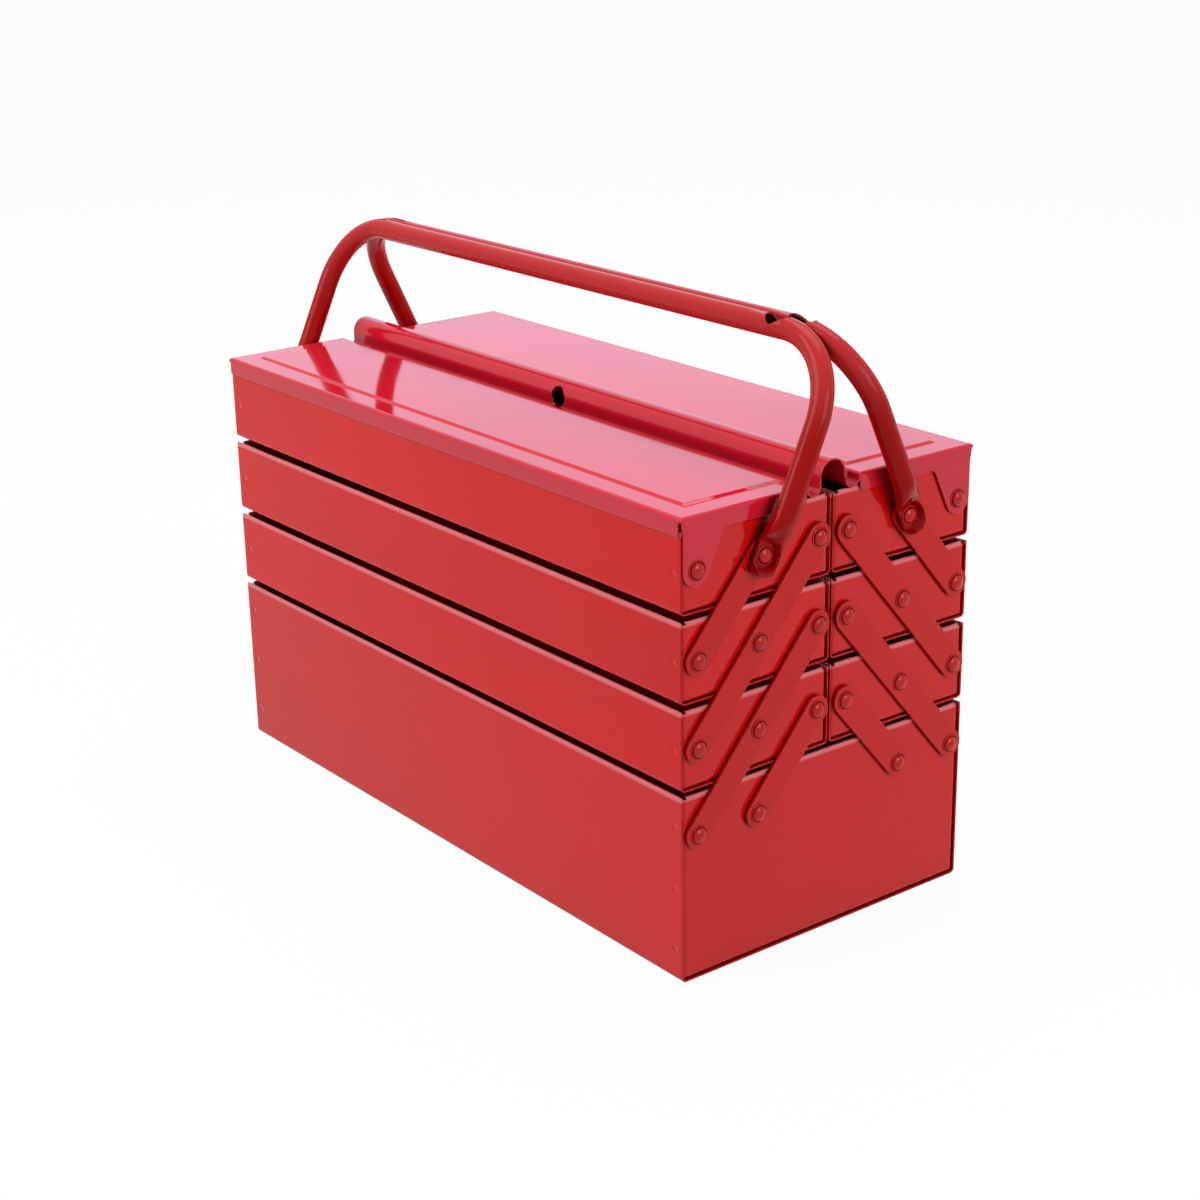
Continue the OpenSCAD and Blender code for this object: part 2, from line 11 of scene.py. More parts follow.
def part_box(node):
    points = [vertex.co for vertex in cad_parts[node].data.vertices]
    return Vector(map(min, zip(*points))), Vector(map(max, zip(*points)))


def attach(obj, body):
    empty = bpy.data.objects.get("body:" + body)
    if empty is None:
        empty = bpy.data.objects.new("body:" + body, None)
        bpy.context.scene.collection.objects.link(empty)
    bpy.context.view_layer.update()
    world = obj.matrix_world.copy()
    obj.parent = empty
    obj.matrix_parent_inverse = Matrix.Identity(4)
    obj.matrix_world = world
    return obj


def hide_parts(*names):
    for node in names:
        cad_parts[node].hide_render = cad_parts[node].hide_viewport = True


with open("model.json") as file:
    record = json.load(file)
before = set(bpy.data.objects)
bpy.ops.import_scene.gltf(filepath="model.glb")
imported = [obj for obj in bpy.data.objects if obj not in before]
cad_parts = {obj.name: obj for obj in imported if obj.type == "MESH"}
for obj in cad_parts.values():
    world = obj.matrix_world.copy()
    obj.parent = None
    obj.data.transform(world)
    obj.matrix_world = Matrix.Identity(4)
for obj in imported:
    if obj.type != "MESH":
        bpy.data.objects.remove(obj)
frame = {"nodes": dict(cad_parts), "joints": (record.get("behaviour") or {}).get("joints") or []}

bl_info = {
    "name": "Cantilever Tool Box",
    "version": (1, 0, 0),
    "blender": (4, 5, 0),
    "location": "View3D > Sidebar > Tool Box",
    "description": "Enamel, rivets, handles and stage of a cantilever tool box",
    "category": "Object",
}

MM = 0.001
SIDES = ("front", "back")
LEVELS = ("lower", "middle", "top")
LINKS = ("base", "lower", "upper", "top")
ENDS = ("right", "left")
JOINTS = {joint["name"]: Vector(joint["pos_m"]) for joint in frame["joints"]}
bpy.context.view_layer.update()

# Layers outward along X at each end of the box, as the model has them
END_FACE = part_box("front_top_end_right")[1].x
LINK_NEAR, LINK_FAR = (corner.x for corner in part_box("front_top_link_right"))
LID_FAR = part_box("front_lid")[1].x
TUBE_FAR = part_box("front_handle")[1].x

# Mesh making
MERGE_DISTANCE = 0.002 * MM
SMOOTH_ANGLE = math.radians(38)


def pivot(side, column, level):
    """Middle of a pivot: column 0 is the outer one and 2 the inner one, level 0 is the base."""
    first = JOINTS[side + "_swing"]
    last = JOINTS[side + "_top_tray_pivot"]
    return Vector((
        0,
        first.y + (last.y - first.y) * column / 2,
        first.z + (last.z - first.z) * level / 3))


# ---- Sizes and colours a user may change ---------------------------------------


def length(name, description, default):
    return bpy.props.FloatProperty(
        name=name, description=description, default=default, min=0.0, unit="LENGTH",
        subtype="DISTANCE", precision=5)


def share(name, description, default):
    return bpy.props.FloatProperty(
        name=name, description=description, default=default, min=0.0, max=1.0, subtype="FACTOR")


def power(name, description, default):
    return bpy.props.FloatProperty(
        name=name, description=description, default=default, min=0.0, unit="POWER")


def count(name, description, default, low, high):
    return bpy.props.IntProperty(
        name=name, description=description, default=default, min=low, max=high)


def colour(name, description, default):
    return bpy.props.FloatVectorProperty(
        name=name, description=description, default=default, size=3, min=0.0, max=1.0,
        subtype="COLOR")


class ToolBoxEnamel(bpy.types.PropertyGroup):
    """Colours and finish of the enamel."""

    body: colour("Body", "Enamel of the base and the trays", (0.700, 0.006, 0.007))
    lid: colour("Lids", "Enamel of the two lids", (0.660, 0.010, 0.030))
    link: colour("Link bars", "Enamel of the link bars", (0.630, 0.005, 0.005))
    rivet: colour("Rivets", "Enamel of the rivets", (0.560, 0.004, 0.004))
    handle: colour("Handles", "Enamel of the handles", (0.370, 0.002, 0.002))
    # Painted highlight on the grips
    grip_highlight: colour("Grip highlight", "Painted highlight on the grips", (0.520, 0.026, 0.028))
    # Painted shade inside the tubes, seen through the open seams
    bore_shade: colour("Tube inside", "Inside of the tubes, behind open seams", (0.014, 0.002, 0.002))
    # Painted shade in folds, gaps and creases
    fold_shade: colour("Fold shade", "Painted shade where the sheet runs into a fold", (0.100, 0.001, 0.001))
    # Painted highlight along the rolled rims
    rim_highlight: colour("Rims", "Painted highlight along the rolled rims", (0.900, 0.220, 0.240))
    gloss: share("Roughness", "Roughness of clean enamel", 0.06)
    haze: share("Haze", "Added roughness where the enamel is hazed", 0.07)
    edge: length("Edge softness", "Radius that the enamel gives the sheet's edges", 1.3 * MM)
    peel: length("Orange peel", "Height of the ripple in the enamel", 0.012 * MM)
    wave: length("Sheet waves", "Height of the waves in the pressed sheet", 0.35 * MM)
    # Height of the band of painted highlight below a rim's top
    rim: length("Rim", "Height of the paler band along a rolled rim", 3.2 * MM)


class ToolBoxRivets(bpy.types.PropertyGroup):
    """Sizes of the pivot rivets."""

    dome: length("Dome diameter", "Diameter of the domed head", 8.4 * MM)
    rise: length("Dome height", "Height of the domed head above its ring", 2.0 * MM)
    ring: length("Ring diameter", "Diameter of the flat ring round the head", 10.8 * MM)
    ring_thick: length("Ring thickness", "Thickness of the flat ring", 0.4 * MM)
    shank: length("Shank diameter", "Diameter of the shank", 5.0 * MM)
    shoulder: length("Shoulder diameter", "Diameter of the shoulder behind a link bar", 8.8 * MM)
    tail: length("Tail thickness", "Thickness of the head set inside a tray", 1.2 * MM)
    play: length("End play", "Play under the head and over the shoulder", 0.12 * MM)
    sheet: length("Sheet", "Thickness of the riveted sheet", 0.85 * MM)
    facets: count("Facets", "Facets round each rivet", 40, 12, 96)


class ToolBoxHandle(bpy.types.PropertyGroup):
    """Sizes of the tubular handles."""

    tube: length("Tube diameter", "Diameter of the tube", 12.0 * MM)
    wall: length("Tube wall", "Wall of the tube", 1.2 * MM)
    bend: length("Bend radius", "Radius of the bends, to the middle of the tube", 42.0 * MM)
    grip_rise: length("Grip height", "Height of the grip's middle above its pivots", 99.5 * MM)
    grip_gap: length("Grip gap", "Gap between the two grips", 0.4 * MM)
    grip_flat: length("Grip flat", "Depth that a grip is pressed flat", 2.6 * MM)
    tip_width: length("Tip width", "Width of the flattened tip", 16.0 * MM)
    tip_thick: length("Tip thickness", "Thickness of the tip under its rivet", 2.6 * MM)
    lobe: length("Tip lobe", "Depth of the tip over its rolled side", 7.3 * MM)
    dish: length("Dish diameter", "Diameter of the dish round the tip's rivet", 13.6 * MM)
    tip_gap: length("Tip gap", "Gap between a link bar and the tip", 0.3 * MM)
    tip_length: length("Tip length", "Length of the tip below its pivot", 10.5 * MM)
    tip_flat: length("Flat length", "Length of the flat tip above its pivot", 5.0 * MM)
    taper: length("Taper", "Length over which the tube flattens", 19.0 * MM)
    seam_length: length("Seam length", "Length of the open seam at each bend", 16.0 * MM)
    seam_width: length("Seam width", "Width of the open seam at the right bend", 11.4 * MM)
    seam_closed: length("Closed seam width", "Width of the slit at the left bend", 3.0 * MM)
    seam_back: length("Seam back", "Distance from one bend back to its open seam", 5.0 * MM)
    seam_on: length("Seam on", "Distance from the other bend on to its open seam", 4.5 * MM)
    seam_lip: length("Seam lip", "Rise of the lips of an open seam", 0.5 * MM)
    facets: count("Facets", "Facets round the tube", 56, 16, 128)


class ToolBoxStage(bpy.types.PropertyGroup):
    """Floor, lamps and surroundings."""

    floor: colour("Floor", "Colour of the floor", (0.95, 0.95, 0.95))
    around: share("Surroundings", "Level of the light from all around", 0.25)
    key: power("Key lamp", "Power of the large lamp over the front", 40.0)
    top: power("Top lamp", "Power of the lamp over the lids", 20.0)
    end: power("End lamp", "Power of the lamp at the right end", 20.0)
    rear: power("Rear lamp", "Power of the cool lamp that the lids mirror", 5.0)


# ---- Node building ---------------------------------------------------------------


class Wire:
    """An output socket that takes part in arithmetic."""

    def __init__(self, graph, socket):
        self.graph = graph
        self.socket = socket

    def __add__(self, other):
        return self.graph.maths("ADD", self, other)

    def __sub__(self, other):
        return self.graph.maths("SUBTRACT", self, other)

    def __rsub__(self, other):
        return self.graph.maths("SUBTRACT", other, self)

    def __mul__(self, other):
        return self.graph.maths("MULTIPLY", self, other)

    def __truediv__(self, other):
        return self.graph.maths("DIVIDE", self, other)

    def __abs__(self):
        return self.graph.maths("ABSOLUTE", self)

    __radd__ = __add__
    __rmul__ = __mul__


class Graph:
    """A node tree under construction."""

    def __init__(self, tree):
        self.tree = tree

    def node(self, kind, settings=None, sockets=None):
        """Adds a node, with its settings first and then its sockets' values or links."""
        made = self.tree.nodes.new(kind)
        for name, value in (settings or {}).items():
            setattr(made, name, value)
        for key, value in (sockets or {}).items():
            if isinstance(value, Wire):
                self.tree.links.new(value.socket, made.inputs[key])
            else:
                made.inputs[key].default_value = value
        return made

    def wire(self, node, output=0):
        return Wire(self, node.outputs[output])

    def maths(self, operation, *values):
        return self.wire(self.node(
            "ShaderNodeMath", {"operation": operation}, dict(enumerate(values))))

    def ease(self, value, low, high):
        """Goes smoothly from 0 to 1 as the value goes from low to high."""
        return self.wire(self.node(
            "ShaderNodeMapRange", {"interpolation_type": "SMOOTHSTEP"},
            {"Value": value, "From Min": low, "From Max": high}))

    def tint(self, factor, first, second):
        """Colour that goes from the first to the second as the factor goes from 0 to 1."""
        made = self.node(
            "ShaderNodeMix", {"data_type": "RGBA"}, {0: factor, 6: first, 7: second})
        return self.wire(made, 2)


class Finish(Graph):
    """A painted surface under construction, with its pattern in object coordinates."""

    def __init__(self, name):
        self.material = bpy.data.materials.new(name)
        self.material.use_nodes = True
        super().__init__(self.material.node_tree)
        self.tree.nodes.clear()
        self.place = self.wire(self.node("ShaderNodeTexCoord"), "Object")

    def noise(self, pattern, shift, stretch=(1, 1, 1)):
        """One of the noise patterns below, moved by a shift that sets it apart from others."""
        scale, detail, offset = pattern
        mapped = self.node(
            "ShaderNodeMapping", None,
            {"Vector": self.place, "Scale": stretch, "Location": (shift + offset,) * 3})
        made = self.node(
            "ShaderNodeTexNoise", None,
            {"Vector": self.wire(mapped), "Scale": scale, "Detail": detail})
        return self.wire(made, "Fac")

    def parts(self):
        """The place as its X, Y and Z."""
        made = self.node("ShaderNodeSeparateXYZ", None, {0: self.place})
        return [self.wire(made, axis) for axis in "XYZ"]

    def bump(self, height, distance, normal):
        return self.wire(self.node(
            "ShaderNodeBump", None, {"Height": height, "Distance": distance, "Normal": normal}))

    def close(self, shader):
        self.node("ShaderNodeOutputMaterial", None, {"Surface": self.wire(shader)})
        return self.material


def rgba(shade):
    return (shade[0], shade[1], shade[2], 1.0)


def shaded(shade, factor):
    """A colour with its three parts multiplied by a factor."""
    return tuple(min(1.0, part * factor) for part in shade[:3])


# ---- Enamels -----------------------------------------------------------------------


# Noise patterns: features per metre, detail, and offset against the other patterns
CLOUD = (5.0, 3.0, 0.0)
WAVES = (11.0, 1.0, 3.0)
HAZE = (38.0, 4.0, 7.0)
FLECK = (160.0, 2.0, 0.0)
PEEL = (900.0, 1.0, 0.0)

# Range of a pattern over which its layer comes in
CLOUD_RANGE = (0.30, 0.72)
HAZE_RANGE = (0.45, 0.75)
FLECK_RANGE = (0.56, 0.80)

# Tones of the layers, as factors of the enamel's own colour, and how strong each layer is
CLOUD_TONES = (0.93, 1.06)
FLECK_TONE, FLECK_SHARE = 0.82, 0.22
EDGE_TONE, EDGE_SHARE = 1.25, 0.30
# Strength of the painted highlight along a rolled rim
RIM_SHARE = 0.85
# Painted shade in folds: its strength, and the roughness added there
FOLD_SHADE_SHARE = 0.88
FOLD_ROUGHNESS = 0.12

# Turn of the softened normal away from the flat one, as 1 less their dot product, over which
# an edge comes in
EDGE_RANGE = (0.02, 0.30)
EDGE_SAMPLES = 6

# Openness at and under which a fold takes its darkest painted shade and its highest roughness
FOLD_FULL = 0.10
FOLD_SAMPLES = 4

# Share of the band along a rim, from its top down, that takes the full painted highlight
RIM_FULL = 0.4

# Marks of the spot welds: distance from the end face, radii of the flat core and of the edge
WELD_INSET = 5.5 * MM
WELD_CORE, WELD_EDGE = 0.8 * MM, 2.6 * MM
WELD_DEPTH = 0.25 * MM
BASE_WELD_HEIGHT, BASE_WELD_SPACING = 0.052, 0.034
TRAY_WELD_DROP = 1.0 * MM

# Heights over the floor between which the handles' enamel turns into the painted highlight of the
# grips
GRIP_LIGHT_FROM, GRIP_LIGHT_TO = 0.272, 0.312

# Mesh attribute that is 1 on the inside of a tube, which takes painted shade
BORE = "bore"


def enamel(name, shade, settings, *, wave, shift, mirror=0.18, grain=(1, 1, 1), softness=1.0,
           reach=7.0 * MM, open_from=0.80, dimples=None, rim=None, layers=None):
    """Gloss enamel over pressed sheet: waves, orange peel, haze, soft edges, painted shade in
    folds.

    wave scales the waves in the sheet, shift moves the patterns and grain stretches the large
    ones. mirror is the specular level and softness scales the radius of the edges. A fold gets
    painted shade where the openness within reach is less than open_from. rim is the height of a
    rolled rim, under which a band gets a painted highlight.
    dimples and layers are functions that add marks and colours of one kind of piece.
    """
    finish = Finish(name)
    soft = finish.node(
        "ShaderNodeBevel", {"samples": EDGE_SAMPLES}, {"Radius": settings.edge * softness})
    soft_normal = finish.wire(soft, "Normal")
    flat_normal = finish.wire(finish.node("ShaderNodeNewGeometry"), "Normal")
    along = finish.wire(
        finish.node(
            "ShaderNodeVectorMath", {"operation": "DOT_PRODUCT"},
            {0: soft_normal, 1: flat_normal}),
        "Value")
    edge = finish.ease(1 - along, *EDGE_RANGE)
    # Openness from ambient occlusion: where it is low, a fold gets painted shade and more
    # roughness
    fold = finish.wire(
        finish.node(
            "ShaderNodeAmbientOcclusion", {"samples": FOLD_SAMPLES}, {"Distance": reach}),
        "AO")
    fold_shade_mask = 1 - finish.ease(fold, FOLD_FULL, open_from)
    cloudy = finish.ease(finish.noise(CLOUD, shift, grain), *CLOUD_RANGE)
    flecked = finish.ease(finish.noise(FLECK, shift), *FLECK_RANGE)
    hazed = finish.ease(finish.noise(HAZE, shift), *HAZE_RANGE)
    paint = finish.tint(cloudy, *(rgba(shaded(shade, tone)) for tone in CLOUD_TONES))
    paint = finish.tint(flecked * FLECK_SHARE, paint, rgba(shaded(shade, FLECK_TONE)))
    # Painted highlight in a band along a rolled rim
    if rim is not None:
        rolled = finish.ease(
            finish.parts()[2], rim - settings.rim, rim - settings.rim * RIM_FULL)
        paint = finish.tint(rolled * RIM_SHARE, paint, rgba(settings.rim_highlight))
    if layers is not None:
        paint = layers(finish, paint)
    # Painted shade in folds, gaps and creases
    paint = finish.tint(fold_shade_mask * FOLD_SHADE_SHARE, paint, rgba(settings.fold_shade))
    paint = finish.tint(edge * EDGE_SHARE, paint, rgba(shaded(shade, EDGE_TONE)))
    rough = settings.gloss + hazed * settings.haze + fold_shade_mask * FOLD_ROUGHNESS
    normal = finish.bump(finish.noise(WAVES, shift, grain), settings.wave * wave, soft_normal)
    if dimples is not None:
        normal = finish.bump(dimples(finish), WELD_DEPTH, normal)
    normal = finish.bump(finish.noise(PEEL, shift), settings.peel, normal)
    shader = finish.node(
        "ShaderNodeBsdfPrincipled", None,
        {"Base Color": paint, "Roughness": rough, "Normal": normal, "IOR": 1.5,
         "Specular IOR Level": mirror})
    return finish.close(shader)


def weld_dimples(centre_z, spacing):
    """Shallow marks that the spot welds leave near both ends of a long wall."""
    def marks(finish):
        x, _, z = finish.parts()
        across = abs(abs(x) - (END_FACE - WELD_INSET))
        turn = (z - centre_z) / spacing
        rise = (turn - finish.maths("ROUND", turn)) * spacing
        radius = finish.maths("SQRT", across * across + rise * rise)
        return finish.ease(radius, WELD_CORE, WELD_EDGE)
    return marks


def tube_layers(settings):
    """Painted highlight on the grips and painted shade in the bore behind the open seams."""
    def layers(finish, paint):
        # Painted highlight on the grips, by height
        grip_highlight = finish.ease(finish.parts()[2], GRIP_LIGHT_FROM, GRIP_LIGHT_TO)
        paint = finish.tint(grip_highlight, paint, rgba(settings.grip_highlight))
        # Painted shade in the bore behind the open seams
        bore = finish.wire(finish.node("ShaderNodeAttribute", {"attribute_name": BORE}), "Fac")
        return finish.tint(bore, paint, rgba(settings.bore_shade))
    return layers


# ---- Mesh helpers ------------------------------------------------------------------


def add_object(name, data):
    """Makes an object of a mesh, a lamp or a camera."""
    made = bpy.data.objects.new(name, data)
    bpy.context.scene.collection.objects.link(made)
    return made


def add_piece(name, mesh, material, body, replaced):
    """Makes an object of a finished mesh, with smooth shading across shallow edges."""
    piece = add_object(name, mesh)
    mesh.materials.append(material)
    mesh.polygons.foreach_set("use_smooth", [True] * len(mesh.polygons))
    mesh.set_sharp_from_angle(angle=SMOOTH_ANGLE)
    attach(piece, body)
    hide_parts(*replaced)
    return piece


def cleaned(work, name):
    """Merges doubles, turns the faces outward and returns a mesh."""
    bmesh.ops.remove_doubles(work, verts=work.verts, dist=MERGE_DISTANCE)
    bmesh.ops.recalc_face_normals(work, faces=work.faces)
    mesh = bpy.data.meshes.new(name)
    work.to_mesh(mesh)
    work.free()
    return mesh


def joined(meshes, name):
    """One cleaned mesh of several."""
    work = bmesh.new()
    for mesh in meshes:
        work.from_mesh(mesh)
    return cleaned(work, name)


# ---- Rivets ------------------------------------------------------------------------


RIVET_INPUTS = (
    "Tail foot", "Tail top", "Wall face", "Shoulder end", "Head foot", "Head crown",
    "Dome radius", "Dome rise", "Ring radius", "Shank radius", "Shoulder radius")
DOME_STEPS = 9
SPIN_SEED = 7

# Shares of the dome's radius: flat of the tail, and both edges of the groove round the dome
TAIL_FLAT = 0.86
GROOVE_CROWN, GROOVE_FOOT = 1.12, 1.10

# Shares of a thickness: rounding of the tail, bevel of the ring, and depth of the groove
TAIL_ROUND = 0.4
RING_BEVEL = 0.5
GROOVE_DEPTH = 0.8

# The shoulder stands clear of the wall by this much
WALL_GAP = 0.05 * MM

# Thickness of a lid's ear
EAR_THICK = 0.8 * MM

# The profile is turned round a circle too small to see, and its ends are merged
AXIS_RADIUS = 1e-6
AXIS_MERGE = 1e-5


def profile_corners(size):
    """Radius and height of each corner of a rivet, from the tail to the foot of the dome."""
    dome, ring, shank = size["Dome radius"], size["Ring radius"], size["Shank radius"]
    tail_foot, tail_top = size["Tail foot"], size["Tail top"]
    crown = size["Head crown"]
    bevel = crown - (crown - size["Head foot"]) * RING_BEVEL
    groove = crown - (crown - size["Head foot"]) * GROOVE_DEPTH
    return [
        (0.0, tail_foot),
        (dome * TAIL_FLAT, tail_foot),
        (dome, tail_foot * (1 - TAIL_ROUND) + tail_top * TAIL_ROUND),
        (dome, tail_top),
        (shank, tail_top),
        (shank, size["Wall face"]),
        (size["Shoulder radius"], size["Wall face"]),
        (size["Shoulder radius"], size["Shoulder end"]),
        (shank, size["Shoulder end"]),
        (shank, size["Head foot"]),
        (ring, size["Head foot"]),
        (ring, bevel),
        (ring - (crown - bevel), crown),
        (dome * GROOVE_CROWN, crown),
        (dome * GROOVE_FOOT, groove),
        (dome, groove),
    ]


def turned_rivet(graph, given):
    """A rivet turned about Z from its corners and its dome."""
    size = {name: graph.wire(given, name) for name in RIVET_INPUTS}
    corners = profile_corners(size)
    index = graph.wire(graph.node("GeometryNodeInputIndex"))
    out, up = 0.0, 0.0
    for number, (radius, height) in enumerate(corners):
        chosen = graph.maths("COMPARE", index, float(number), 0.1)
        out = chosen * radius + out
        up = chosen * height + up
    first = len(corners)
    turn = (index - first) / (DOME_STEPS - 1) * (math.pi / 2)
    on_dome = graph.maths("GREATER_THAN", index, first - 0.5)
    out = out + on_dome * graph.maths("COSINE", turn) * size["Dome radius"]
    up = up + on_dome * (size["Head crown"] + graph.maths("SINE", turn) * size["Dome rise"])
    line = graph.node("GeometryNodeMeshLine", None, {"Count": first + DOME_STEPS})
    spot = graph.node("ShaderNodeCombineXYZ", None, {"X": out, "Y": up})
    placed = graph.node(
        "GeometryNodeSetPosition", None,
        {"Geometry": graph.wire(line), "Position": graph.wire(spot)})
    profile = graph.node("GeometryNodeMeshToCurve", None, {0: graph.wire(placed)})
    path = graph.node(
        "GeometryNodeCurvePrimitiveCircle", None,
        {"Resolution": graph.wire(given, "Facets"), "Radius": AXIS_RADIUS})
    turned = graph.node(
        "GeometryNodeCurveToMesh", None,
        {"Curve": graph.wire(path), "Profile Curve": graph.wire(profile)})
    return graph.wire(graph.node(
        "GeometryNodeMergeByDistance", None,
        {"Geometry": graph.wire(turned), "Distance": AXIS_MERGE}))


def rotation(graph, axis, angle):
    """Rotation by an angle about one axis."""
    angles = graph.node("ShaderNodeCombineXYZ", None, {axis: angle})
    return graph.wire(graph.node("FunctionNodeEulerToRotation", None, {0: graph.wire(angles)}))


def rivet_tree():
    """Node tree that puts a turned rivet on every point of a mesh, leaning along X."""
    tree = bpy.data.node_groups.new("Pivot rivets", "GeometryNodeTree")
    interface = tree.interface
    interface.new_socket(name="Geometry", in_out="INPUT", socket_type="NodeSocketGeometry")
    for name in RIVET_INPUTS:
        interface.new_socket(name=name, in_out="INPUT", socket_type="NodeSocketFloat")
    interface.new_socket(name="Facets", in_out="INPUT", socket_type="NodeSocketInt")
    interface.new_socket(name="Geometry", in_out="OUTPUT", socket_type="NodeSocketGeometry")
    graph = Graph(tree)
    given = graph.node("NodeGroupInput")
    rivet = turned_rivet(graph, given)
    way = graph.wire(graph.node(
        "GeometryNodeInputNamedAttribute", {"data_type": "FLOAT"}, {"Name": "way"}))
    random_turn = graph.wire(graph.node(
        "FunctionNodeRandomValue", {"data_type": "FLOAT"},
        {2: 0.0, 3: math.tau, "Seed": SPIN_SEED}), 1)
    turns = graph.node(
        "FunctionNodeRotateRotation", {"rotation_space": "LOCAL"},
        {0: rotation(graph, "Y", way * (math.pi / 2)), 1: rotation(graph, "Z", random_turn)})
    set_out = graph.node(
        "GeometryNodeInstanceOnPoints", None,
        {"Points": graph.wire(given, "Geometry"), "Instance": rivet,
         "Rotation": graph.wire(turns)})
    real = graph.node("GeometryNodeRealizeInstances", None, {0: graph.wire(set_out)})
    graph.node("NodeGroupOutput", None, {0: graph.wire(real)})
    return tree


def rivet_mesh(tree, points, near, far, sizes):
    """Plain mesh of rivets at some pivots, each at both ends, holding from near to far."""
    spots = [(point, way) for point in points for way in (1.0, -1.0)]
    mesh = bpy.data.meshes.new("rivet points")
    mesh.from_pydata([tuple(point) for point, _ in spots], [], [])
    ways = mesh.attributes.new("way", "FLOAT", "POINT")
    ways.data.foreach_set("value", [way for _, way in spots])
    holder = add_object("rivet points", mesh)
    inside = END_FACE - sizes.sheet
    foot = far + sizes.play
    values = {
        "Tail foot": inside - sizes.tail, "Tail top": inside, "Wall face": END_FACE + WALL_GAP,
        "Shoulder end": near - sizes.play, "Head foot": foot,
        "Head crown": foot + sizes.ring_thick, "Dome radius": sizes.dome / 2,
        "Dome rise": sizes.rise, "Ring radius": sizes.ring / 2,
        "Shank radius": sizes.shank / 2, "Shoulder radius": sizes.shoulder / 2,
        "Facets": sizes.facets}
    modifier = holder.modifiers.new("rivets", "NODES")
    modifier.node_group = tree
    for socket in tree.interface.items_tree:
        if socket.in_out == "INPUT" and socket.name in values:
            modifier[socket.identifier] = values[socket.name]
    bpy.context.view_layer.update()
    made = bpy.data.meshes.new_from_object(
        holder.evaluated_get(bpy.context.evaluated_depsgraph_get()))
    bpy.data.objects.remove(holder)
    return made


# ---- Handles -----------------------------------------------------------------------


# Rings of points along half of a handle
GRIP_RINGS = 12
SEAM_RINGS = 20
LEG_RINGS = 6
TIP_RINGS = 44
CORNER_RINGS = 8
BEND_STEP = 2.5 * MM

# Outline of an open seam: how far it is drawn out, how blunt it is, and the largest sine of
# half its angle
SEAM_SKEW = 0.8
SEAM_BLUNT = 0.65
SEAM_LIMIT = 0.98

# Angle beside an open seam over which its lip falls
LIP_ANGLE = 0.7

# Softness of the edge where a grip is pressed flat
PRESS_SOFT = 0.7 * MM

# Pressed tip: length of leg over its taper, radius of its corners, width of its narrow half,
# squareness of its sides and of its crown, and least thickness
TIP_START = 3.0 * MM
TIP_CORNER = 5.3 * MM
TIP_NARROW = 0.8
TIP_SQUARE = 0.42
TIP_CROWN = 0.60
TIP_LEAST = 0.2 * MM

# The tip's end slopes down over its last stretch
END_SLOPE = 0.7
END_STRETCH = 2.2 * MM

# Trough in the tip: its distance from the pivot and from the leg, the step of its rim inside
# the dish, its radius on the open side, its side line at the top, the height from which that
# line leans, and the slope of its wall
TROUGH_MARGIN = 6.0 * MM
TROUGH_RIM = 0.9 * MM
TROUGH_OPEN = 8.0 * MM
TROUGH_TOP = -3.5 * MM
TROUGH_LEAN = 1.0 * MM
TROUGH_WALL = 3.0


def eased(value):
    """Goes smoothly from 0 to 1 as the value does."""
    value = min(1.0, max(0.0, value))
    return value * value * (3 - 2 * value)


def mixed(first, second, factor):
    """Goes evenly from the first to the second value as the factor goes from 0 to 1."""
    return first + (second - first) * factor


